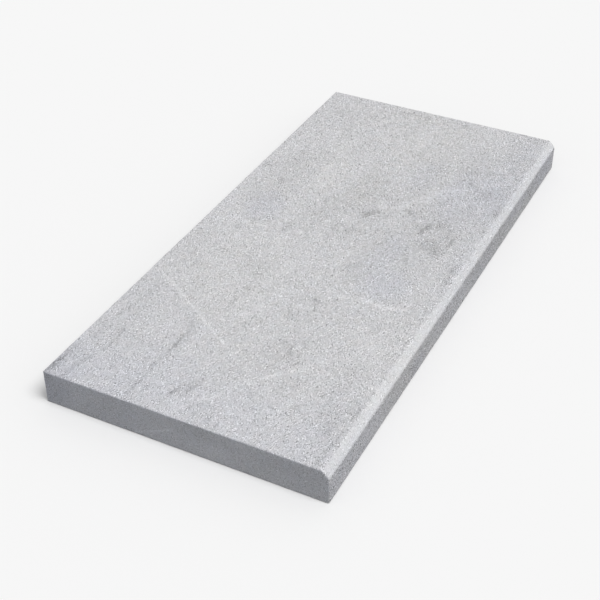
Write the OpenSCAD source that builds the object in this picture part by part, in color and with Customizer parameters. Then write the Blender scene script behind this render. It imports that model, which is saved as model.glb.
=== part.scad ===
// Wall coping stone: one sawn slab of natural stone that caps a free-standing wall.
// It lies on its bed face. One long top edge has a wide chamfer at 45 degrees, and
// every other edge is only eased, as a mason leaves a sawn arris.
//
// +X runs along the wall, the chamfered edge faces -Y, +Z is up, and the origin is
// the middle of the bed face.

/* [Slab] */
// Length of the stone along the wall
slab_length = 600; // [200:10:1200]
// Width of the stone across the wall, with both overhangs
slab_width = 280; // [120:5:600]
// Thickness between the bed face and the top face
slab_thickness = 35; // [20:1:80]

/* [Edges] */
// What the chamfer of the front top edge takes off the top face and off the side
chamfer = 7; // [4:0.5:15]
// What easing takes off the two faces of every other edge
arris = 0.8; // [0.3:0.1:2]

/* [Finish] */
// Colour of the sawn stone
stone_colour = "#C8C9CC"; // [#C8C9CC, #A4A6A9, #D8D2C6]

/* [Hidden] */

// Slope of the chamfer, seen on the end of the stone
chamfer_angle = 45;
// More than any part of the stone lies from the plane of the chamfer
past_stone = slab_width + slab_thickness;

// Rectangle about its own middle, with each corner cut back by the arris
module eased_rectangle(along, across) {
    x = along / 2;
    y = across / 2;
    polygon([
        [x - arris, -y], [x, -y + arris],
        [x, y - arris], [x - arris, y],
        [-x + arris, y], [-x, y - arris],
        [-x, -y + arris], [-x + arris, -y]
    ]);
}

// The sawn block with its twelve edges eased: what its plan, its long side and
// its end have in common
module eased_block() {
    intersection() {
        linear_extrude(height = slab_thickness)
            eased_rectangle(slab_length, slab_width);
        translate([0, slab_width / 2, slab_thickness / 2])
            rotate([90, 0, 0])
                linear_extrude(height = slab_width)
                    eased_rectangle(slab_length, slab_thickness);
        translate([-slab_length / 2, 0, slab_thickness / 2])
            rotate([90, 0, 90])
                linear_extrude(height = slab_length)
                    eased_rectangle(slab_width, slab_thickness);
    }
}

// All that lies behind the plane of the chamfer. Its long section is an eased
// rectangle too, so that the arris of each end runs on down the slope.
module behind_chamfer() {
    translate([0, chamfer - slab_width / 2, slab_thickness])
        rotate([chamfer_angle, 0, 0])
            translate([0, past_stone, -past_stone / 2])
                rotate([90, 0, 0])
                    linear_extrude(height = 2 * past_stone)
                        eased_rectangle(slab_length, past_stone);
}

module coping_stone() {
    color(stone_colour)
        intersection() {
            eased_block();
            behind_chamfer();
        }
}

coping_stone();
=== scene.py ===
"""Wall coping stone: the dressed stone, its floor, its light and its camera.

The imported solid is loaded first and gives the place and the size. The stone that is
made here stands for it: the same slab with its ground chamfer, its eased arrises and
the shallow relief that sandblasting leaves. All lengths are in metres, +X runs along
the wall, the chamfer faces -Y and +Z is up.
"""

import math

import bpy
import numpy as np
from bpy.props import (
    FloatProperty,
    FloatVectorProperty,
    PointerProperty,
)
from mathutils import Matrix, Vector, noise


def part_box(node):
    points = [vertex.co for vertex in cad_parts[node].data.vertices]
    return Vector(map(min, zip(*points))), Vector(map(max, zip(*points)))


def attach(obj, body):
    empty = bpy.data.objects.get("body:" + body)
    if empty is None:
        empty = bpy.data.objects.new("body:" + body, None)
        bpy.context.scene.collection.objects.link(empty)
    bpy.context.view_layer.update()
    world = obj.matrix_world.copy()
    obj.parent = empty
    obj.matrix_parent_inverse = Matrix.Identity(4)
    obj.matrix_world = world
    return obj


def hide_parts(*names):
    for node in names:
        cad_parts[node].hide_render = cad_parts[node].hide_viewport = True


bl_info = {
    "name": "Wall Coping Stone",
    "version": (1, 0, 0),
    "blender": (4, 5, 0),
    "location": "3D View > Sidebar > Coping",
    "description": "Makes a sandblasted coping stone with one chamfered edge, and its stage",
    "category": "Add Mesh",
}

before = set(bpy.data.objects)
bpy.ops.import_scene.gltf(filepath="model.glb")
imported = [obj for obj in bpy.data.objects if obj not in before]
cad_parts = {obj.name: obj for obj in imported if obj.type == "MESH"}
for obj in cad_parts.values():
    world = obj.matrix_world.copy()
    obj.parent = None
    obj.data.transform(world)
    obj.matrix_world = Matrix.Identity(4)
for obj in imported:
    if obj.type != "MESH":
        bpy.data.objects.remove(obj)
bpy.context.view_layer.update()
STONE_LOW, STONE_HIGH = (Vector(corner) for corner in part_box("coping_stone"))

MM = 0.001
STONE = "coping_stone_dressed"


# Sizes and colours


class CopingStoneSizes(bpy.types.PropertyGroup):
    """Sizes of the stone's edges and of its relief."""

    chamfer: FloatProperty(
        name="Chamfer",
        description="What the ground chamfer takes off the top face and off the side",
        default=7 * MM,
        min=4 * MM,
        max=15 * MM,
        precision=4,
        subtype="DISTANCE",
        unit="LENGTH",
    )
    crease: FloatProperty(
        name="Rounding above the chamfer",
        description="Radius at which the top face turns into the chamfer",
        default=5.5 * MM,
        min=0.5 * MM,
        max=8 * MM,
        precision=4,
        subtype="DISTANCE",
        unit="LENGTH",
    )
    lower_crease: FloatProperty(
        name="Rounding below the chamfer",
        description="Radius at which the chamfer turns into the long side",
        default=4.5 * MM,
        min=0.5 * MM,
        max=8 * MM,
        precision=4,
        subtype="DISTANCE",
        unit="LENGTH",
    )
    arris: FloatProperty(
        name="Arris",
        description="What easing takes off the two faces of every other edge",
        default=0.8 * MM,
        min=0.3 * MM,
        max=2 * MM,
        precision=5,
        subtype="DISTANCE",
        unit="LENGTH",
    )
    row_step: FloatProperty(
        name="Row step",
        description="Widest distance between two rows of the mesh",
        default=2.2 * MM,
        min=2.2 * MM,
        max=20 * MM,
        precision=4,
        subtype="DISTANCE",
        unit="LENGTH",
    )
    blasted_relief: FloatProperty(
        name="Blasted relief",
        description="Depth of the hollows that sandblasting leaves",
        default=0.16 * MM,
        min=0,
        max=1 * MM,
        precision=5,
        subtype="DISTANCE",
        unit="LENGTH",
    )
    sawn_relief: FloatProperty(
        name="Sawn relief",
        description="Depth of the waves in the sawn and ground faces",
        default=0.03 * MM,
        min=0,
        max=1 * MM,
        precision=5,
        subtype="DISTANCE",
        unit="LENGTH",
    )


class CopingStoneColours(bpy.types.PropertyGroup):
    """Colours of the stone's finishes, the ground one partly painted light, and how strong its
    grain is.
    """

    blasted: FloatVectorProperty(
        name="Blasted stone",
        description="Colour of the sandblasted top face and long sides",
        default=(0.599, 0.599, 0.615),
        min=0,
        max=1,
        subtype="COLOR",
    )
    # Paler than the blasted stone: partly the smoother ground finish, and partly painted light
    # on the chamfer
    ground: FloatVectorProperty(
        name="Ground stone",
        description="Colour of the chamfer, which is ground smooth",
        default=(0.680, 0.684, 0.698),
        min=0,
        max=1,
        subtype="COLOR",
    )
    sawn: FloatVectorProperty(
        name="Sawn stone",
        description="Colour of the sawn end faces and bed face",
        default=(0.592, 0.603, 0.634),
        min=0,
        max=1,
        subtype="COLOR",
    )
    grain: FloatProperty(
        name="Grain",
        description="How far the facets of the crystals differ from the colour",
        default=0.61,
        min=0,
        max=1,
        subtype="FACTOR",
    )
    pit_depth: FloatProperty(
        name="Pit depth",
        description="Depth of the pits between the crystals of the blasted faces",
        default=0.35 * MM,
        min=0,
        max=1 * MM,
        precision=5,
        subtype="DISTANCE",
        unit="LENGTH",
    )


class CopingStoneStage(bpy.types.PropertyGroup):
    """The floor, the light and the camera."""

    floor_colour: FloatVectorProperty(
        name="Floor",
        description="Colour of the floor and of what is behind it",
        default=(0.93, 0.93, 0.93),
        min=0,
        max=1,
        subtype="COLOR",
    )
    floor_bounce: FloatProperty(
        name="Floor bounce",
        description="Share of its light that the floor throws back onto the stone",
        default=0.17,
        min=0,
        max=1,
        subtype="FACTOR",
    )
    sky: FloatProperty(
        name="Sky light",
        description="Brightness of the even light from all around",
        default=0.5,
        min=0,
        max=1,
    )
    key: FloatProperty(
        name="Key light",
        description="Strength of the soft light from above the chamfered edge",
        default=1.79,
        min=0,
        max=5,
    )
    key_azimuth: FloatProperty(
        name="Key light azimuth",
        description="Where the key light stands: 0 in front of the chamfer, more to the right",
        default=math.radians(-11),
        subtype="ANGLE",
        unit="ROTATION",
    )
    key_elevation: FloatProperty(
        name="Key light elevation",
        description="How high the key light stands above the floor",
        default=math.radians(61.3),
        subtype="ANGLE",
        unit="ROTATION",
    )
    key_softness: FloatProperty(
        name="Key light softness",
        description="How wide the key light looks from the stone",
        default=math.radians(30),
        subtype="ANGLE",
        unit="ROTATION",
    )
    camera_azimuth: FloatProperty(
        name="Camera azimuth",
        description="Where the camera stands: 0 in front of the chamfer, more to the right",
        default=math.radians(-63.207),
        subtype="ANGLE",
        unit="ROTATION",
    )
    camera_elevation: FloatProperty(
        name="Camera elevation",
        description="How high the camera stands above the middle of the stone",
        default=math.radians(36.683),
        subtype="ANGLE",
        unit="ROTATION",
    )
    camera_distance: FloatProperty(
        name="Camera distance",
        description="How far the camera stands from the point that it looks at",
        default=1.1722,
        min=0.3,
        precision=4,
        subtype="DISTANCE",
        unit="LENGTH",
    )
    camera_aim: FloatVectorProperty(
        name="Camera aim",
        description="The point that the camera looks at",
        default=(-0.0838, -0.0043, 0.0175),
        precision=4,
        subtype="XYZ",
        unit="LENGTH",
    )
    camera_lens: FloatProperty(
        name="Camera lens",
        description="Focal length of the camera, in millimetres",
        default=72.35,
        min=20,
        max=300,
    )


# Shader maths


class Value:
    """One number that varies over the stone, held by a node's socket."""

    def __init__(self, bench, socket):
        self.bench = bench
        self.socket = socket

    def combined(self, operation, first, second):
        settings = {"operation": operation}
        return self.bench.node("ShaderNodeMath", settings, {0: first, 1: second})

    def __add__(self, other):
        return self.combined("ADD", self, other)

    def __radd__(self, other):
        return self.combined("ADD", other, self)

    def __sub__(self, other):
        return self.combined("SUBTRACT", self, other)

    def __rsub__(self, other):
        return self.combined("SUBTRACT", other, self)

    def __mul__(self, other):
        return self.combined("MULTIPLY", self, other)

    def __rmul__(self, other):
        return self.combined("MULTIPLY", other, self)

    def __abs__(self):
        return self.bench.node("ShaderNodeMath", {"operation": "ABSOLUTE"}, {0: self})


class Bench:
    """Where the nodes of a material or of the sky are put together."""

    def __init__(self, owner):
        owner.use_nodes = True
        self.tree = owner.node_tree
        self.tree.nodes.clear()

    def node(self, kind, settings, sockets, out=0):
        """Adds a node: settings first, then the values or links of its sockets."""
        made = self.tree.nodes.new(kind)
        for key, setting in settings.items():
            setattr(made, key, setting)
        for key, given in sockets.items():
            socket = self.find(made.inputs, key)
            if isinstance(given, Value):
                self.tree.links.new(given.socket, socket)
            else:
                socket.default_value = given
        if not made.outputs:
            return None
        if isinstance(out, tuple):
            return tuple(Value(self, self.find(made.outputs, name)) for name in out)
        return Value(self, self.find(made.outputs, out))

    @staticmethod
    def find(sockets, key):
        if isinstance(key, int):
            return sockets[key]
        for socket in sockets:
            if socket.identifier == key:
                return socket
        return sockets[key]

    def fade(self, value, start, end, low=0.0, high=1.0):
        """low where the value is at start, high where it is at end, smooth between."""
        return self.node(
            "ShaderNodeMapRange",
            {"interpolation_type": "SMOOTHSTEP"},
            {
                "Value": value,
                "From Min": start,
                "From Max": end,
                "To Min": low,
                "To Max": high,
            },
        )

    def larger(self, first, second):
        return self.node("ShaderNodeMath", {"operation": "MAXIMUM"}, {0: first, 1: second})

    def vector(self, operation, first, second=None, third=None, scale=None, out=0):
        sockets = {0: first}
        if second is not None:
            sockets[1] = second
        if third is not None:
            sockets[2] = third
        if scale is not None:
            sockets["Scale"] = scale
        return self.node("ShaderNodeVectorMath", {"operation": operation}, sockets, out)

    def mixed(self, share, first, second):
        """The first colour where share is 0, and the second where it is 1."""
        return self.node(
            "ShaderNodeMix",
            {"data_type": "RGBA"},
            {"Factor_Float": share, "A_Color": first, "B_Color": second},
            "Result_Color",
        )

    def scaled_colour(self, colour, value):
        """The colour made paler or darker by a factor that varies over the stone."""
        return self.vector("SCALE", colour, scale=value)

    def grainy(self, place, size, seed, detail=0.0, rough=0.5, out=0):
        """Soft noise between about -1 and 1, with lumps of the given size.

        As a colour it is three such noises, each between about -0.5 and 0.5."""
        if isinstance(size, (int, float)):
            size = (size, size, size)
        spread = tuple(1.0 / length for length in size)
        shift = (17.3 * seed, -9.1 * seed, 5.7 * seed)
        moved = self.vector("MULTIPLY_ADD", place, spread, shift)
        made = self.node(
            "ShaderNodeTexNoise",
            {"noise_dimensions": "3D"},
            {"Vector": moved, "Scale": 1.0, "Detail": detail, "Roughness": rough},
            out,
        )
        if out == "Color":
            return self.vector("SUBTRACT", made, (0.5, 0.5, 0.5))
        return (made - 0.5) * 2.0

    def facets(self, place, size, seed):
        """How much paler a crystal's facet is than the next one's: from -1 to 1."""
        shift = (3.1 * seed, 7.7 * seed, -4.3 * seed)
        spread = tuple(1.0 / length for length in size)
        moved = self.vector("MULTIPLY_ADD", place, spread, shift)
        shades = []
        for feature in ("F1", "F2"):
            colour = self.node(
                "ShaderNodeTexVoronoi",
                {"feature": feature, "voronoi_dimensions": "3D"},
                {"Vector": moved, "Scale": 1.0},
                "Color",
            )
            shades.append(self.vector("DOT_PRODUCT", colour, (1.0, 0.0, 0.0), out="Value"))
        return shades[0] - shades[1]

    def turned_places(self, place, turns):
        """The place as it reads on axes that are turned about +Z, for each turn."""
        places = {}
        for turn in turns:
            cosine, sine = math.cos(math.radians(turn)), math.sin(math.radians(turn))
            axes = {"X": (cosine, sine, 0.0), "Y": (-sine, cosine, 0.0), "Z": (0.0, 0.0, 1.0)}
            parts = {
                name: self.vector("DOT_PRODUCT", place, axis, out="Value")
                for name, axis in axes.items()
            }
            places[turn] = self.node("ShaderNodeCombineXYZ", {}, parts)
        return places

    def folded_places(self, place):
        """The place with its -Y half folded onto the other, for what both sides share."""
        x, y, z = self.node("ShaderNodeSeparateXYZ", {}, {"Vector": place}, ("X", "Y", "Z"))
        return {0: self.node("ShaderNodeCombineXYZ", {}, {"X": x, "Y": abs(y), "Z": z})}

    def oval_reach(self, places, middle, reach, turn):
        """0 in the middle of an oval and 1 on its edge."""
        cosine, sine = math.cos(math.radians(turn)), math.sin(math.radians(turn))
        x, y, z = middle
        turned = (cosine * x + sine * y, cosine * y - sine * x, z)
        spread = tuple(1.0 / length for length in reach)
        shift = tuple(-at / length for at, length in zip(turned, reach))
        local = self.vector("MULTIPLY_ADD", places[turn], spread, shift)
        return self.vector("LENGTH", local, out="Value")

    def blot(self, places, middle, reach, turn, strength, core=0.1):
        """A soft oval mark: strength inside its core, nothing past its reach."""
        far = self.oval_reach(places, middle, reach, turn)
        return self.fade(far, core, 1.0, strength, 0.0)

    def ring(self, places, middle, reach, strength):
        """A soft oval line at the given half length and half width."""
        far = self.oval_reach(places, middle, reach, 0)
        return self.fade(abs(far - 1.0), 0.05, 0.4, strength, 0.0)

    def streak(self, place, start, end, half_width, strength):
        """A soft straight line between two points: a piece of a vein."""
        start, end = Vector(start), Vector(end)
        along = end - start
        from_start = self.vector("SUBTRACT", place, tuple(start))
        share = self.vector(
            "DOT_PRODUCT", from_start, tuple(along / along.length_squared), out="Value"
        )
        kept = self.node("ShaderNodeClamp", {}, {"Value": share})
        on_line = self.vector("SCALE", tuple(along), scale=kept)
        off_line = self.vector("DISTANCE", from_start, on_line, out="Value")
        return self.fade(off_line, 0.0, half_width, strength, 0.0)


# Marks in the stone

# How deep below their face the shades and the marks reach, in mm
TOP_SHADE_DEPTH = 60.0
TOP_MARK_DEPTH = 14.0
RING_DEPTH = 30.0
SIDE_DEPTH = 12.0
END_DEPTH = 10.0
# What the strengths in the tables of shades are multiplied by, and the share of its
# reach over which a shade is even
SHADE_STRENGTH = 1.15
SHADE_CORE = 0.35
# The corner that the first pale vein parts off: how it begins, in mm past the vein and
# along +Y, and how much darker and cooler it is
CORNER_PAST_VEIN = (-1.0, 7.0)
CORNER_ALONG_Y = (0.0, 70.0)
CORNER_DARKER = 0.018
CORNER_COOLER = 0.006

# Broad shades of the top face: middle (x, y), half length and half width in mm, turn
# in degrees, how much paler they make the stone, and how much cooler
TOP_SHADES = (
    (-312, 20, 112, 220, 0, 0.012, 0.012),
    (-296, 66, 40, 26, 0, -0.034, 0.000),
    (-292, 134, 60, 34, 0, -0.060, 0.008),
    (-290, -116, 90, 34, 0, -0.004, 0.005),
    (-290, -16, 34, 24, 0, -0.030, 0.000),
    (-256, -42, 20, 16, 0, -0.028, 0.000),
    (-242, -108, 50, 26, 0, -0.020, 0.002),
    (-225, 124, 26, 20, 0, -0.026, 0.000),
    (-210, -112, 60, 24, 0, -0.040, 0.002),
    (-192, -126, 34, 18, 0, 0.040, 0.000),
    (-190, 84, 36, 28, 0, 0.032, 0.000),
    (-164, -98, 30, 20, 0, -0.036, 0.000),
    (-150, -108, 60, 32, -10, 0.030, -0.002),
    (-135, 16, 26, 18, 0, 0.026, 0.000),
    (-132, -84, 30, 26, 0, 0.024, 0.000),
    (-90, 60, 110, 60, 0, 0.012, -0.003),
    (-78, 44, 34, 26, 0, -0.028, 0.000),
    (-45, -76, 38, 34, 20, -0.026, 0.016),
    (-32, -42, 36, 20, 0, -0.036, 0.004),
    (8, -56, 46, 22, 0, -0.024, 0.010),
    (12, -82, 52, 36, 0, -0.034, 0.003),
    (30, 95, 40, 27, 0, -0.030, 0.014),
    (50, 26, 40, 30, 0, -0.030, 0.000),
    (52, -22, 76, 92, 0, -0.026, 0.000),
    (58, -88, 52, 42, 0, -0.045, 0.000),
    (60, -134, 190, 24, 0, -0.044, 0.006),
    (76, 98, 24, 18, 0, -0.024, 0.000),
    (78, 102, 80, 26, 0, -0.030, -0.002),
    (92, -20, 40, 34, 0, -0.022, 0.000),
    (104, -70, 28, 20, 0, -0.030, 0.000),
    (108, 12, 64, 26, 0, -0.044, -0.005),
    (134, 12, 30, 20, 0, -0.028, 0.000),
    (134, 44, 24, 18, 0, 0.030, 0.000),
    (135, 92, 50, 40, 0, -0.022, 0.000),
    (136, -96, 82, 50, 0, -0.034, 0.014),
    (136, -40, 30, 20, 0, -0.034, 0.000),
    (138, 128, 34, 20, 0, 0.044, 0.000),
    (140, 66, 90, 22, 10, 0.020, -0.004),
    (160, -36, 50, 26, -10, -0.016, 0.008),
    (166, 112, 26, 30, 0, 0.022, 0.000),
    (190, -96, 70, 52, 0, -0.034, 0.002),
    (200, -78, 60, 30, 0, -0.016, 0.000),
    (212, -46, 70, 50, 0, -0.016, 0.000),
    (214, -122, 120, 26, 0, -0.022, 0.008),
    (226, 44, 22, 18, 0, 0.034, 0.000),
    (232, -10, 80, 60, 0, -0.004, -0.004),
    (236, 97, 50, 34, 0, -0.026, 0.000),
    (272, -112, 60, 44, 0, -0.034, 0.002),
    (288, 28, 26, 52, 0, -0.032, -0.004),
)
# Shades that both long sides share: middle (x, z) in mm, half length and half height
# in mm, how much paler, and how much cooler
SIDE_SHADES = (
    (-250, 14, 90, 24, 0.018, 0.014),
    (-112, 9, 24, 17, -0.040, 0.014),
    (-30, 16, 70, 20, 0.024, 0.008),
    (62, 12, 50, 18, 0.012, 0.008),
    (176, 20, 60, 12, 0.020, 0.014),
    (262, 16, 60, 20, 0.004, 0.020),
)
# Shades of the end at -X: middle (y, z) in mm, half width and half height in mm, how
# much paler, and how much cooler
END_SHADES = (
    (132, 12, 30, 22, -0.055, 0.004),
    (91, 8, 18, 12, -0.050, -0.002),
    (76, 22, 26, 14, -0.018, -0.004),
    (30, 10, 34, 16, 0.016, 0.000),
    (-28, 9, 28, 12, 0.060, -0.003),
    (-20, 27, 60, 11, -0.036, -0.002),
    (-98, 24, 36, 12, -0.050, 0.000),
    (-96, 4, 46, 8, 0.010, -0.002),
)
# Dark streaks, knots and flecks of the top face: middle (x, y), half length and half
# width in mm, turn in degrees, and how much darker they make the stone
DARK_MARKS = (
    # The end at -X
    (-286, 136, 30, 9, 0, 0.15),
    (-206, 53, 26, 8, -10, 0.13),
    (-182, 59, 12, 6, 30, 0.11),
    (-276, 24, 18, 5, -10, 0.12),
    (-262, 14, 24, 8, -20, 0.17),
    (-278, 48, 14, 5, -10, 0.07),
    (-162, 14, 9, 6, 20, 0.10),
    (-150, 4, 8, 6, -20, 0.10),
    (-130, -22, 12, 7, 40, 0.07),
    (-100, -30, 11, 6, 20, 0.15),
    (-242, -79, 10, 8, 0, 0.10),
    (-226, -58, 12, 6, 20, 0.06),
    (-258, -117, 13, 6, -10, 0.14),
    (-156, -80, 10, 5, 0, 0.08),
    (-116, -96, 12, 8, 0, 0.06),
    (-206, -36, 14, 5, -10, 0.06),
    # The middle, where they are knots
    (-20, 101, 8, 8, 0, 0.10),
    (3, 54, 17, 5, 0, 0.15),
    (84, 102, 10, 5, 20, 0.21),
    (24, -2, 8, 6, 0, 0.18),
    (31, -17, 8, 6, 0, 0.10),
    (66, -13, 18, 7.5, -40, 0.23),
    (60, -7, 8, 7, 0, 0.10),
    (95, 10, 10, 7, 0, 0.10),
    (102, -16, 9, 6, 0, 0.10),
    (130, -4, 7, 8, -10, 0.18),
    (83, -51, 12, 9, 40, 0.21),
    (42, -42, 7, 5, 0, 0.09),
    (-28, -36, 13, 8, -30, 0.13),
    (-1, -79, 9, 5, 0, 0.20),
    (64, -75, 20, 6, -10, 0.22),
    (76, -89, 16, 9, -10, 0.13),
    (80, -67, 8, 7, 0, 0.12),
    (38, -92, 15, 12, 0, 0.13),
    (27, -101, 16, 10, -20, 0.15),
    (49, -108, 18, 5, 0, 0.12),
    (3, -127, 14, 5, -10, 0.12),
    (-14, -127, 10, 5, 10, 0.08),
    (64, -99, 22, 12, 0, 0.07),
    # The end at +X, where only small flecks are left
    (196, 84, 10, 7, 0, 0.08),
    (236, 92, 16, 10, 30, 0.05),
    (190, 55, 6, 5, 0, 0.12),
    (248, 49, 7, 7, 0, 0.11),
    (238, 21, 6, 4.5, 0, 0.13),
    (258, 15, 9, 7, -20, 0.09),
    (284, 13, 10, 5, 10, 0.21),
    (284, 48, 14, 8, 0, 0.07),
    (176, 2, 7, 6, 0, 0.08),
    (138, 73, 6, 5, 0, 0.09),
    (150, 110, 16, 12, -30, 0.07),
    (250, 108, 16, 8, 0, 0.06),
    (262, 72, 14, 10, 0, 0.06),
    (204, -12, 16, 8, 10, 0.06),
    (283, -38, 6, 5, 0, 0.08),
    (177, -46, 9, 7, -30, 0.09),
    (152, -24, 14, 8, 20, 0.05),
    (191, -80, 14, 9, -20, 0.09),
    (198, -97, 9, 6, 0, 0.08),
    (165, -88, 9, 7, 0, 0.09),
    (154, -110, 18, 11, 0, 0.11),
    (214, -116, 12, 7, 0, 0.08),
    (112, -106, 16, 10, 0, 0.06),
    (128, -130, 20, 7, 0, 0.08),
)
# Marks that are paler than the stone, in the same way
PALE_MARKS = (
    (-160, 34, 9, 6, 0, 0.12),
    (-148, 19, 8, 6, 0, 0.10),
    (-132, 13, 8, 6, 0, 0.08),
    (-216, -44, 12, 6, -40, 0.09),
    (-214, 38, 22, 8, -10, 0.06),
    (-35, 92, 10, 6, 0, 0.07),
    (-6, 110, 14, 5, -20, 0.09),
    (20, 129, 12, 7, 0, 0.08),
    (0, 37, 6, 5, 0, 0.13),
    (30, 22, 8, 4, -10, 0.14),
    (44, 8, 13, 9, 30, 0.11),
    (62, 11, 8, 6, 0, 0.07),
    (82, -19, 8, 8, 0, 0.19),
    (90, -36, 14, 6, -40, 0.15),
    (108, 58, 28, 15, 0, 0.06),
    (125, 68, 18, 7, 0, 0.07),
    (-70, 24, 40, 12, -10, 0.05),
    (-100, 5, 20, 8, 0, 0.05),
    (208, 91, 9, 6, 0, 0.17),
    (257, 56, 9, 7, 0, 0.14),
    (294, 41, 7, 5, 0, 0.16),
    (205, 33, 16, 7, 0, 0.06),
    (222, 20, 10, 8, 0, 0.05),
    (120, -58, 22, 7, -20, 0.07),
    (294, -62, 12, 8, 0, 0.06),
    (290, -75, 10, 6, 0, 0.05),
)
# Marks that both long sides share: middle (x, z) in mm, half length and half height in
# mm, and how much paler they make the stone, below 0 where they are dark
SIDE_MARKS = (
    (-131, 16, 7, 5, -0.13),
    (-116, 8, 9, 5, -0.15),
    (-99, 12, 7, 6, -0.16),
    (-92, 4, 8, 5, -0.10),
    (-42, 11, 9, 6, -0.07),
    (-60, 20, 12, 5, 0.05),
    (10, 9, 9, 5, 0.06),
    (45, 16, 10, 5, -0.06),
    (80, 22, 10, 4, -0.11),
    (124, 10, 11, 6, -0.09),
    (150, 19, 9, 4, -0.08),
    (172, 9, 9, 5, 0.08),
    (215, 15, 14, 7, -0.15),
    (228, 8, 8, 4, 0.06),
    (262, 13, 14, 8, -0.07),
)
# Dark streaks of the top face: points (x, y) in mm, the half width and the strength
DARK_STREAKS = (
    (((-300, 138), (-274, 136), (-252, 133)), 4.2, 0.10),
    (((-300, 122), (-284, 119), (-262, 113)), 3.4, 0.13),
    (((-252, 109), (-234, 108), (-216, 111)), 3.2, 0.15),
    (((-204, 127), (-182, 123), (-166, 119), (-146, 119)), 3.2, 0.13),
    (((-292, 58), (-262, 57), (-240, 57), (-212, 54), (-192, 54)), 3.0, 0.13),
    (((-276, 24), (-262, 19), (-254, 17)), 3.0, 0.10),
    (((-268, 12), (-254, 9), (-240, 8)), 3.0, 0.11),
    (((-152, 40), (-132, 39), (-108, 37)), 2.6, 0.11),
    (((-300, -124), (-276, -127), (-252, -129)), 3.2, 0.12),
    (((-236, -129), (-206, -130)), 3.0, 0.11),
    (((-122, -97), (-96, -99)), 2.6, 0.05),
    (((52, -73), (74, -76)), 3.0, 0.12),
    (((38, -107), (66, -109)), 2.6, 0.12),
    (((-14, -126), (16, -128)), 3.0, 0.11),
)
# Pale veins, in the same way
PALE_VEINS = (
    (((-124, 126), (-199, 10)), 2.8, 0.14),
    (((-268, -7), (-252, -19), (-228, -28), (-222, -38), (-208, -50)), 3.0, 0.10),
    (((-208, -50), (-192, -65), (-176, -76), (-160, -92), (-143, -106)), 7.0, 0.06),
    (((-78, -68), (-80, -90), (-76, -114)), 4.6, 0.14),
    (((-10, 103), (-8, 90), (-7, 74)), 5.0, 0.13),
    (((78, -2), (96, -1), (112, -3)), 3.5, 0.07),
    (((95, -42), (118, -48), (136, -60), (148, -76), (162, -92), (186, -124)), 3.6, 0.07),
    (((212, -4), (240, -8)), 3.0, 0.05),
    (((262, 35), (286, 30)), 3.0, 0.07),
    (((200, -5), (226, -9), (248, -10)), 2.2, 0.05),
    (((112, 40), (140, 22), (152, 2), (176, -18)), 2.6, 0.035),
    (((-150, 34), (-110, 28), (-66, 16), (-30, 14)), 4.0, 0.04),
    (((-44, -18), (-20, -22), (-4, -24)), 3.0, 0.07),
    (((-100, -84), (-84, -60), (-78, -30)), 4.5, 0.04),
)
# The pale vein across the end at -X: its two ends (y, z) in mm, half width and strength
END_VEIN = (((50, 0), (8, 20)), 1.8, 0.14)
# Dark rings: middle (x, y), half length and half width in mm, and the strength
DARK_RINGS = (
    (-181, -33, 12, 10, 0.075),
    (-176, -46, 14, 5, 0.07),
    (-112, -22, 16, 12, 0.05),
)


# The stone's mesh

# Distances from an edge, in mm, of the mesh rows that shape a small arris
ARRIS_ROWS = (0.0, 0.4, 0.8, 1.4, 2.4, 4.0)
# Shares of the chamfer at which rows of the mesh run along it
CHAMFER_SHARES = (0.0, 0.06, 0.12, 0.24, 0.38, 0.53, 0.68, 0.84, 1.0)
# Distances past the chamfer, in mm, of the rows that round its upper and lower end
PAST_CHAMFER_TOP = (0.6, 1.3, 2.2, 3.5, 5.0)
PAST_CHAMFER_SIDE = (0.8, 1.8, 3.2)
# Lengths, in mm, over which the relief of the edges and the faces comes and goes
ARRIS_WANDER = 11.0
ARRIS_NICK = 2.9
WAVE = 34.0
HOLLOW = 7.0
SAW_WAVE = 9.0
# Shares of the arris by which its width wanders and by which a nick widens it, and the
# noise from which a nick shows
WANDER_SHARE = 0.55
NICK_SHARE = 0.5
NICK_FROM = 0.25
# Shares of the waves and of the hollows in the relief of a blasted face
WAVE_SHARE = 0.82
HOLLOW_SHARE = 0.18
# What the place is multiplied by to draw the saw's waves out across the stone
SAW_STRETCH = (1.0, 0.15, 2.0)
# How far past the chamfer, in mm, the relief is still that of ground stone
GROUND_RIM = 0.3
# How much further apart than the row step the rows up the sides may be
UPRIGHT_STEP = 1.15
# How often every edge is settled, so that the three at a corner agree
SETTLE_ROUNDS = 6
# Turn between two faces, in degrees, from which their edge is drawn sharp
SHARP_TURN = 32


def graded_rows(length, at_start, at_end, step):
    """Row places from 0 to length: close rows at both edges, even ones between."""
    start = np.array(at_start)
    end = length - np.array(at_end)[::-1]
    gap = end[0] - start[-1]
    cells = max(1, math.ceil(gap / step))
    between = start[-1] + gap * np.arange(1, cells) / cells
    return np.concatenate([start, between, end])


def lattice_skin(xs, ys, zs):
    """Vertices and faces of the skin of a box lattice, closed, facing outwards."""
    counts = (len(xs), len(ys), len(zs))
    grid = np.stack(np.meshgrid(xs, ys, zs, indexing="ij"), axis=-1)
    on_skin = np.ones(counts, bool)
    on_skin[1:-1, 1:-1, 1:-1] = False
    number = np.full(counts, -1)
    number[on_skin] = np.arange(on_skin.sum())
    faces = []
    for axis in range(3):
        for last in (False, True):
            sheet = np.take(number, -1 if last else 0, axis=axis)
            quads = np.stack(
                [sheet[:-1, :-1], sheet[1:, :-1], sheet[1:, 1:], sheet[:-1, 1:]],
                axis=-1,
            ).reshape(-1, 4)
            # The sheet's own turn faces +X and +Z for those axes, and -Y for the other
            if last == (axis == 1):
                quads = quads[:, ::-1]
            faces.append(quads)
    return grid[on_skin], np.concatenate(faces)


def noise_over(points, size, seed):
    """Smooth noise about 0 at each point, with lumps of the given size in mm."""
    shift = Vector((31.7 * seed, -11.9 * seed, 7.3 * seed))
    scaled = points / size
    return np.array([noise.noise(Vector(place) + shift) for place in scaled])


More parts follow.
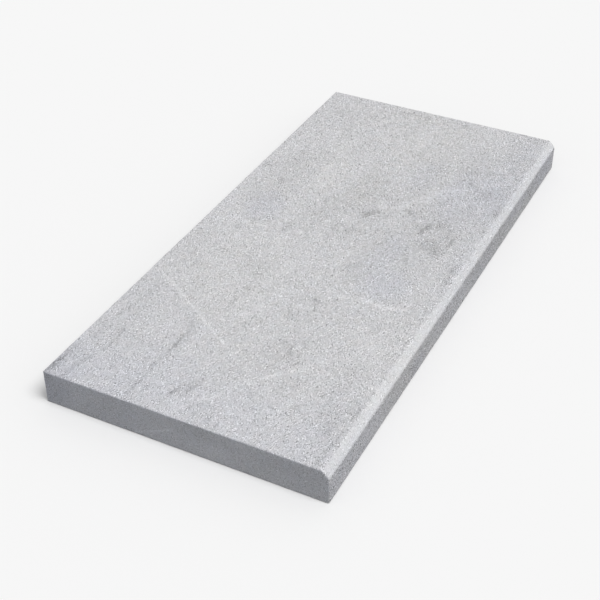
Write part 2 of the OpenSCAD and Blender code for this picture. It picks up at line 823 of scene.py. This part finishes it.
def round_crease(across, down, chamfer, radius):
    """Rounds the turn from a face into the chamfer, in the plane across it.

    across is the distance from the edge along the face, and down the distance
    below the face."""
    middle = (chamfer + radius * math.tan(math.pi / 8), radius)
    out_x = across - middle[0]
    out_y = down - middle[1]
    turn = np.arctan2(-out_x, -out_y)
    reach = np.hypot(out_x, out_y)
    rounded = (turn > 0) & (turn < math.pi / 4) & (reach > radius)
    pull = np.where(rounded, radius / np.maximum(reach, 1e-9), 1.0)
    return middle[0] + out_x * pull, middle[1] + out_y * pull


def ease_edges(places, size, sizes):
    """Moves the lattice's edge rows onto the chamfer and the arrises, all in mm."""
    chamfer = sizes.chamfer / MM
    arris = sizes.arris / MM
    wander = noise_over(places, ARRIS_WANDER, 1)
    nicks = noise_over(places, ARRIS_NICK, 2)
    nicked = np.clip(nicks - NICK_FROM, 0.0, 1.0)
    width = arris * (1.0 + WANDER_SHARE * wander + NICK_SHARE * nicked)
    low = places.copy()
    high = size - places
    slope = math.sqrt(0.5)

    def settle(first, second, wanted):
        short = np.clip(wanted - first - second, 0.0, None) / 2
        first += short
        second += short
        return short

    for _ in range(SETTLE_ROUNDS):
        # The chamfer takes from the front side and from the top face
        short = settle(low[:, 1], high[:, 2], chamfer)
        high[:, 1] -= short
        low[:, 2] -= short
        for axis_a in range(3):
            for axis_b in range(axis_a + 1, 3):
                for near_a, far_a in ((low, high), (high, low)):
                    for near_b, far_b in ((low, high), (high, low)):
                        short = settle(near_a[:, axis_a], near_b[:, axis_b], width)
                        far_a[:, axis_a] -= short
                        far_b[:, axis_b] -= short
        # The arrises at the two ends of the chamfer
        for near, far in ((low, high), (high, low)):
            above = (low[:, 1] + high[:, 2] - chamfer) * slope
            short = np.clip(width - near[:, 0] - above, 0.0, None) / 2
            near[:, 0] += short
            far[:, 0] -= short
            low[:, 1] += short * slope
            high[:, 1] -= short * slope
            high[:, 2] += short * slope
            low[:, 2] -= short * slope
    across, down = round_crease(low[:, 1], high[:, 2], chamfer, sizes.crease / MM)
    down, across = round_crease(down, across, chamfer, sizes.lower_crease / MM)
    eased = low
    eased[:, 1] = across
    eased[:, 2] = size[2] - down
    return eased


def outward_normals(places, faces):
    """Unit normals of the vertices, from the faces round them."""
    corners = places[faces]
    turned = np.cross(corners[:, 2] - corners[:, 0], corners[:, 3] - corners[:, 1])
    summed = np.zeros_like(places)
    for corner in range(4):
        np.add.at(summed, faces[:, corner], turned)
    return summed / np.linalg.norm(summed, axis=1, keepdims=True)


def make_stone_mesh(sizes):
    """The stone's mesh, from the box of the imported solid."""
    size = np.array(STONE_HIGH - STONE_LOW) / MM
    chamfer = sizes.chamfer / MM
    step = sizes.row_step / MM
    along_chamfer = tuple(share * chamfer for share in CHAMFER_SHARES)
    front = along_chamfer + tuple(chamfer + more for more in PAST_CHAMFER_TOP)
    top = along_chamfer + tuple(chamfer + more for more in PAST_CHAMFER_SIDE)
    xs = graded_rows(size[0], ARRIS_ROWS, ARRIS_ROWS, step)
    ys = graded_rows(size[1], front, ARRIS_ROWS, step)
    zs = graded_rows(size[2], ARRIS_ROWS, top, step * UPRIGHT_STEP)
    places, faces = lattice_skin(xs, ys, zs)
    eased = ease_edges(places, size, sizes)

    normals = outward_normals(eased, faces)
    ground = eased[:, 1] + size[2] - eased[:, 2] < chamfer + GROUND_RIM
    blasted = np.clip(normals[:, 2], 0.0, 1.0) + np.abs(normals[:, 1])
    blasted = np.where(ground, 0.0, np.clip(blasted, 0.0, 1.0))
    waves = 0.5 + 0.5 * noise_over(eased, WAVE, 3)
    hollows = 0.5 + 0.5 * noise_over(eased, HOLLOW, 4)
    drawn_out = eased * np.array(SAW_STRETCH)
    sawing = 0.5 + 0.5 * noise_over(drawn_out, SAW_WAVE, 5)
    blasted_depth = WAVE_SHARE * waves + HOLLOW_SHARE * hollows
    blasted_depth = blasted_depth * sizes.blasted_relief / MM
    sawn_depth = (0.5 * waves + 0.5 * sawing) * sizes.sawn_relief / MM
    depth = blasted * blasted_depth + (1.0 - blasted) * sawn_depth
    dressed = eased - normals * depth[:, None]

    mesh = bpy.data.meshes.new(STONE)
    in_metres = dressed * MM + np.array(STONE_LOW)
    mesh.vertices.add(len(in_metres))
    mesh.vertices.foreach_set("co", in_metres.ravel())
    mesh.loops.add(faces.size)
    mesh.loops.foreach_set("vertex_index", faces.ravel())
    mesh.polygons.add(len(faces))
    mesh.polygons.foreach_set("loop_start", np.arange(len(faces)) * 4)
    mesh.polygons.foreach_set("use_smooth", np.ones(len(faces), bool))
    mesh.update(calc_edges=True)
    if mesh.validate():
        raise RuntimeError("the stone's mesh had faulty faces")
    mesh.set_sharp_from_angle(angle=math.radians(SHARP_TURN))
    return mesh


# The stone's finish

# Lengths of the patterns in the stone, in mm, along +X, +Y and +Z where they differ
CRYSTAL = (2.1, 1.35, 1.35)
PIT = 1.2
GRAIN_PATCH = 38.0
WIDE_BEND = 34.0
CLOSE_BEND = 9.0
CLOUD = (70.0, 45.0, 45.0)
MOTTLE = (14.0, 5.5, 5.5)
BEDDING = (34.0, 3.6, 5.0)
SPECKLE = 7.0
GRINDING = (30.0, 0.7, 0.7)
SAWING = (0.8, 12.0, 0.8)
# How far those patterns bend the marks, in mm
WIDE_BEND_REACH = (5.0, 5.0, 0.0)
CLOSE_BEND_REACH = (7.0, 7.0, 7.0)
# How far they make the stone paler or darker, and cooler or warmer
CLOUD_PALER = 0.055
CLOUD_COOLER = 0.005
MOTTLE_PALER = 0.012
BEDDING_PALER = 0.034
SPECKLE_TINT = (0.05, 0.008, 0.05)
# How strong the grain is at the end at -X and at the end at +X, and what patches add
GRAIN_NEAR = 0.88
GRAIN_FAR = 1.2
GRAIN_PATCHES = 0.2
# How strong the grain is on the ground and the sawn faces, and what the sides add
GROUND_GRAIN = 0.62
SAWN_GRAIN = 0.74
SIDE_GRAIN = 0.5
# How the ground finish, with the painted light of its paler colour, ends: distances, in mm,
# out from the chamfer's plane and past its upper and its lower edge, at which it is gone and
# at which it is whole
GROUND_OUT = (2.4, 0.9)
GROUND_UPPER = (0.2, -2.6)
GROUND_LOWER = (1.4, -0.4)
# The blasting eats into its upper edge: length of that noise and its reach, in mm
EATEN = 3.2
EATEN_REACH = 1.3
# Distances, in mm, from an end or the bed at which the sawn finish begins and is whole
SAWN_RIM = (0.45, 0.2)
# Distances, in mm, below the top face at which a long side begins and is whole
SIDE_RIM = (2.0, 8.0)
# How dark and how pale a spot may get, as shares of the stone's colour
DARKEST = 0.25
PALEST = 1.5
# What a cooler spot loses of its green and gains of its blue, for what it loses of red
COOLER_GREEN = 0.6
COOLER_BLUE = 1.1
# Shares of the pits' depth on the ground and the sawn faces
GROUND_PITS = 0.12
SAWN_PITS = 0.2
# Depths of the marks that grinding and sawing leave, in mm
GRINDING_DEPTH = 0.008
SAWING_DEPTH = 0.01
# Roughness of blasted stone, how much smoother the others are, and what the pits add
ROUGHNESS = 0.84
GROUND_SMOOTHER = 0.2
SAWN_SMOOTHER = 0.12
PITS_ROUGHER = 0.08


def finishes(bench, place, sizes):
    """How far the stone is blasted, ground, sawn and a long side: shares from 0 to 1."""
    length, width, height = (STONE_HIGH - STONE_LOW) / MM
    chamfer = sizes.chamfer / MM
    x, y, z = bench.node("ShaderNodeSeparateXYZ", {}, {"Vector": place}, ("X", "Y", "Z"))
    across = y + width / 2
    down = height - z
    eaten = EATEN_REACH * bench.grainy(place, EATEN, 11, detail=1.0)

    def within_chamfer(distance, rim):
        gone, whole = rim
        return bench.fade(distance, chamfer + gone, chamfer + whole)

    # The ground share also sets where the chamfer's paler colour, partly painted light, lies
    ground = (
        within_chamfer(across + down, GROUND_OUT)
        * within_chamfer(across - down + eaten, GROUND_UPPER)
        * within_chamfer(down - across, GROUND_LOWER)
    )
    end = bench.fade(length / 2 - abs(x), *SAWN_RIM)
    bed = bench.fade(z, *SAWN_RIM)
    sawn = bench.larger(end, bed)
    blasted = (1.0 - sawn) * (1.0 - ground)
    return blasted, ground, sawn, blasted * bench.fade(down, *SIDE_RIM)


def broad_shades(bench, bent, places, folded):
    """How much paler and how much cooler the stone is, from place to place."""
    length, width, height = (STONE_HIGH - STONE_LOW) / MM
    shades = [
        (places, (x, y, height), (long, wide, TOP_SHADE_DEPTH), turn, pale, cool)
        for x, y, long, wide, turn, pale, cool in TOP_SHADES
    ]
    shades += [
        (folded, (x, width / 2, z), (long, SIDE_DEPTH, high), 0, pale, cool)
        for x, z, long, high, pale, cool in SIDE_SHADES
    ]
    shades += [
        (places, (-length / 2, y, z), (END_DEPTH, wide, high), 0, pale, cool)
        for y, z, wide, high, pale, cool in END_SHADES
    ]
    # The clouds are added last: a sum that waits for them keeps every shade before it,
    # more than the renderer has room for in one material
    paler = 0.0
    cooler = 0.0
    for on, middle, reach, turn, pale, cool in shades:
        shade = bench.blot(on, middle, reach, turn, SHADE_STRENGTH, SHADE_CORE)
        paler = paler + shade * pale
        cooler = cooler + shade * cool
    clouds = bench.grainy(bent, CLOUD, 6, detail=3.0, rough=0.55)
    paler = paler + CLOUD_PALER * clouds
    cooler = cooler + CLOUD_COOLER * clouds
    # The first vein parts a cooler, darker corner from the rest
    (start, stop), *_ = PALE_VEINS[0]
    along = (Vector(stop) - Vector(start)).normalized()
    outward = (along.y, -along.x, 0.0)
    from_origin = bench.vector("DOT_PRODUCT", bent, outward, out="Value")
    past_vein = from_origin - (start[0] * outward[0] + start[1] * outward[1])
    y = bench.vector("DOT_PRODUCT", bent, (0.0, 1.0, 0.0), out="Value")
    corner = bench.fade(past_vein, *CORNER_PAST_VEIN) * bench.fade(y, *CORNER_ALONG_Y)
    return paler - CORNER_DARKER * corner, cooler + CORNER_COOLER * corner


def streaks_and_knots(bench, place, lined, places, folded):
    """How much paler the small marks make the stone, below 0 where they are dark."""
    length, width, height = (STONE_HIGH - STONE_LOW) / MM
    marks = 0.0
    for sign, table in ((-1.0, DARK_MARKS), (1.0, PALE_MARKS)):
        for x, y, long, wide, turn, strength in table:
            reach = (long, wide, TOP_MARK_DEPTH)
            marks = marks + bench.blot(places, (x, y, height), reach, turn, sign * strength)
    for x, z, long, high, paler in SIDE_MARKS:
        reach = (long, SIDE_DEPTH, high)
        marks = marks + bench.blot(folded, (x, width / 2, z), reach, 0, paler)
    for sign, table in ((-1.0, DARK_STREAKS), (1.0, PALE_VEINS)):
        for points, half_width, strength in table:
            line = 0.0
            for start, stop in zip(points, points[1:]):
                ends = (*start, height), (*stop, height)
                line = bench.larger(line, bench.streak(lined, *ends, half_width, strength))
            marks = marks + sign * line
    (start, stop), half_width, strength = END_VEIN
    marks = marks + bench.streak(
        place, (-length / 2, *start), (-length / 2, *stop), half_width, strength
    )
    for x, y, long, wide, strength in DARK_RINGS:
        reach = (long, wide, RING_DEPTH)
        marks = marks - bench.ring(places, (x, y, height), reach, strength)
    return marks


def stone_material(sizes, colours):
    """Pale grey stone: blasted on top and along the sides, ground on the chamfer, whose paler
    colour is partly painted light.
    """
    material = bpy.data.materials.new("pale_grey_stone")
    bench = Bench(material)
    coordinates = bench.node("ShaderNodeTexCoord", {}, {}, "Object")
    place = bench.vector("SCALE", coordinates, scale=1.0 / MM)
    blasted, ground, sawn, sides = finishes(bench, place, sizes)

    # Grain: the facets of single crystals, and the pits between them
    facets = bench.facets(place, CRYSTAL, 1)
    pitted = bench.grainy(place, PIT, 2)
    patches = bench.grainy(place, GRAIN_PATCH, 3, detail=2.0)
    along = bench.vector("DOT_PRODUCT", place, (1.0, 0.0, 0.0), out="Value")
    ends = STONE_LOW.x / MM, STONE_HIGH.x / MM
    strength = bench.fade(along, *ends, GRAIN_NEAR, GRAIN_FAR) + GRAIN_PATCHES * patches
    share = blasted + SIDE_GRAIN * sides + GROUND_GRAIN * ground + SAWN_GRAIN * sawn
    grain = facets * strength * share

    # Marks lie on ground that is bent a little, so that nothing is a true oval, and
    # lines on ground that is bent less
    bend_wide = bench.grainy(place, WIDE_BEND, 4, detail=1.0, out="Color")
    bend_close = bench.grainy(place, CLOSE_BEND, 5, detail=1.0, out="Color")
    lined = bench.vector("MULTIPLY_ADD", bend_wide, WIDE_BEND_REACH, place)
    bent = bench.vector("MULTIPLY_ADD", bend_close, CLOSE_BEND_REACH, lined)
    turns = sorted({mark[4] for mark in (*TOP_SHADES, *DARK_MARKS, *PALE_MARKS)} | {0})
    places = bench.turned_places(bent, turns)
    folded = bench.folded_places(bent)
    paler, cooler = broad_shades(bench, bent, places, folded)
    mottle = bench.grainy(place, MOTTLE, 7, detail=1.0)
    bedding = bench.grainy(bent, BEDDING, 13, detail=1.0)
    marks = streaks_and_knots(bench, place, lined, places, folded) * (1.0 + mottle)
    level = 1.0 + paler + MOTTLE_PALER * mottle + BEDDING_PALER * bedding + marks
    level = level + grain * colours.grain
    limits = {"Value": level, "Min": DARKEST, "Max": PALEST}
    level = bench.node("ShaderNodeClamp", {}, limits)

    # On the chamfer the ground colour is partly painted light: paler for the light that falls
    # on it
    colour = bench.mixed(ground, (*colours.blasted, 1.0), (*colours.ground, 1.0))
    colour = bench.mixed(sawn, colour, (*colours.sawn, 1.0))
    tint = {
        "X": 1.0 - cooler,
        "Y": 1.0 - COOLER_GREEN * cooler,
        "Z": 1.0 + COOLER_BLUE * cooler,
    }
    cast = bench.node("ShaderNodeCombineXYZ", {}, tint)
    speckle = bench.grainy(place, SPECKLE, 12, detail=1.0, out="Color")
    cast = bench.vector("MULTIPLY_ADD", speckle, SPECKLE_TINT, cast)
    colour = bench.vector("MULTIPLY", colour, cast)
    colour = bench.scaled_colour(colour, level)

    # Depth of the pits, in mm
    pits = pitted * (colours.pit_depth / MM)
    grinding = GRINDING_DEPTH * bench.grainy(place, GRINDING, 8)
    sawing = SAWING_DEPTH * bench.grainy(place, SAWING, 9)
    relief = pits * (blasted + GROUND_PITS * ground + SAWN_PITS * sawn)
    relief = relief + grinding * ground + sawing * sawn
    normal = bench.node(
        "ShaderNodeBump",
        {},
        {"Strength": 1.0, "Distance": MM, "Height": relief},
        "Normal",
    )
    roughness = ROUGHNESS - GROUND_SMOOTHER * ground - SAWN_SMOOTHER * sawn
    roughness = roughness + PITS_ROUGHER * pitted
    surface = bench.node(
        "ShaderNodeBsdfPrincipled",
        {},
        {
            "Base Color": colour,
            "Roughness": roughness,
            "Specular IOR Level": 0.3,
            "Normal": normal,
        },
    )
    bench.node("ShaderNodeOutputMaterial", {}, {"Surface": surface})
    return material


class MESH_OT_coping_stone(bpy.types.Operator):
    """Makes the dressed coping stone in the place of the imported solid"""

    bl_idname = "mesh.coping_stone"
    bl_label = "Coping Stone"
    bl_options = {"REGISTER", "UNDO"}

    def execute(self, context):
        sizes = context.scene.coping_stone_sizes
        colours = context.scene.coping_stone_colours
        mesh = make_stone_mesh(sizes)
        mesh.materials.append(stone_material(sizes, colours))
        stone = bpy.data.objects.new(STONE, mesh)
        context.scene.collection.objects.link(stone)
        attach(stone, "root")
        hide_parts("coping_stone")
        return {"FINISHED"}


# The stage

# Half the floor's width, and how far from the stone the key light stands, in metres
FLOOR_REACH = 8.0
KEY_DISTANCE = 2.0


def seen_share(bench):
    """1 for what the camera sees, straight or in a gloss, and 0 for soft light."""
    rays = ("Is Camera Ray", "Is Glossy Ray", "Is Transmission Ray")
    camera, glossy, through = bench.node("ShaderNodeLightPath", {}, {}, rays)
    return bench.larger(bench.larger(camera, glossy), through)


def floor_material(stage):
    """A plain pale floor that throws little of its light back onto the stone."""
    material = bpy.data.materials.new("studio_floor")
    bench = Bench(material)
    shown = (*stage.floor_colour, 1.0)
    thrown = (stage.floor_bounce, stage.floor_bounce, stage.floor_bounce, 1.0)
    colour = bench.mixed(seen_share(bench), thrown, shown)
    surface = bench.node(
        "ShaderNodeBsdfDiffuse", {}, {"Color": colour, "Roughness": 0.0}
    )
    bench.node("ShaderNodeOutputMaterial", {}, {"Surface": surface})
    return material


def towards(azimuth, elevation):
    """Unit vector to something that stands at this azimuth and elevation."""
    return Vector(
        (
            math.sin(azimuth) * math.cos(elevation),
            -math.cos(azimuth) * math.cos(elevation),
            math.sin(elevation),
        )
    )


class SCENE_OT_coping_stage(bpy.types.Operator):
    """Lays the pale floor, and sets up the soft light and the camera"""

    bl_idname = "scene.coping_stage"
    bl_label = "Stage"
    bl_options = {"REGISTER", "UNDO"}

    def execute(self, context):
        stage = context.scene.coping_stone_stage
        self.lay_floor(context, stage)
        self.light(context, stage)
        self.place_camera(context, stage)
        context.scene.view_settings.view_transform = "Standard"
        return {"FINISHED"}

    def lay_floor(self, context, stage):
        mesh = bpy.data.meshes.new("floor")
        turns = ((-1, -1), (1, -1), (1, 1), (-1, 1))
        corners = [(x * FLOOR_REACH, y * FLOOR_REACH, 0.0) for x, y in turns]
        mesh.from_pydata(corners, [], [(0, 1, 2, 3)])
        mesh.materials.append(floor_material(stage))
        floor = bpy.data.objects.new("floor", mesh)
        context.scene.collection.objects.link(floor)

    def light(self, context, stage):
        world = bpy.data.worlds.new("studio_sky")
        context.scene.world = world
        bench = Bench(world)
        shown = (*stage.floor_colour, 1.0)
        sky = (stage.sky, stage.sky, stage.sky, 1.0)
        colour = bench.mixed(seen_share(bench), sky, shown)
        surface = bench.node(
            "ShaderNodeBackground", {}, {"Color": colour, "Strength": 1.0}
        )
        bench.node("ShaderNodeOutputWorld", {}, {"Surface": surface})

        lamp = bpy.data.lights.new("key_light", "SUN")
        lamp.energy = stage.key
        lamp.angle = stage.key_softness
        key = bpy.data.objects.new("key_light", lamp)
        context.scene.collection.objects.link(key)
        direction = towards(stage.key_azimuth, stage.key_elevation)
        key.location = direction * KEY_DISTANCE
        key.rotation_euler = direction.to_track_quat("Z", "Y").to_euler()

    def place_camera(self, context, stage):
        lens = bpy.data.cameras.new("camera")
        lens.sensor_width = 36.0
        lens.lens = stage.camera_lens
        lens.clip_start = 0.01
        camera = bpy.data.objects.new("camera", lens)
        context.scene.collection.objects.link(camera)
        back = towards(stage.camera_azimuth, stage.camera_elevation)
        camera.location = Vector(stage.camera_aim) + back * stage.camera_distance
        camera.rotation_euler = back.to_track_quat("Z", "Y").to_euler()
        context.scene.camera = camera


# Add-on


class VIEW3D_PT_coping_stone(bpy.types.Panel):
    """Sizes, colours and stage of the coping stone"""

    bl_idname = "VIEW3D_PT_coping_stone"
    bl_label = "Coping Stone"
    bl_space_type = "VIEW_3D"
    bl_region_type = "UI"
    bl_category = "Coping"

    def draw(self, context):
        layout = self.layout
        layout.use_property_split = True
        scene = context.scene
        for group in (
            scene.coping_stone_sizes,
            scene.coping_stone_colours,
            scene.coping_stone_stage,
        ):
            column = layout.box().column()
            for name in group.__annotations__:
                column.prop(group, name)
        layout.operator(MESH_OT_coping_stone.bl_idname)
        layout.operator(SCENE_OT_coping_stage.bl_idname)


CLASSES = (
    CopingStoneSizes,
    CopingStoneColours,
    CopingStoneStage,
    MESH_OT_coping_stone,
    SCENE_OT_coping_stage,
    VIEW3D_PT_coping_stone,
)


def register():
    for cls in CLASSES:
        bpy.utils.register_class(cls)
    scene = bpy.types.Scene
    scene.coping_stone_sizes = PointerProperty(type=CopingStoneSizes)
    scene.coping_stone_colours = PointerProperty(type=CopingStoneColours)
    scene.coping_stone_stage = PointerProperty(type=CopingStoneStage)


def unregister():
    scene = bpy.types.Scene
    del scene.coping_stone_stage
    del scene.coping_stone_colours
    del scene.coping_stone_sizes
    for cls in reversed(CLASSES):
        bpy.utils.unregister_class(cls)


def main():
    register()
    bpy.ops.mesh.coping_stone()
    bpy.ops.scene.coping_stage()


if __name__ == "__main__":
    main()
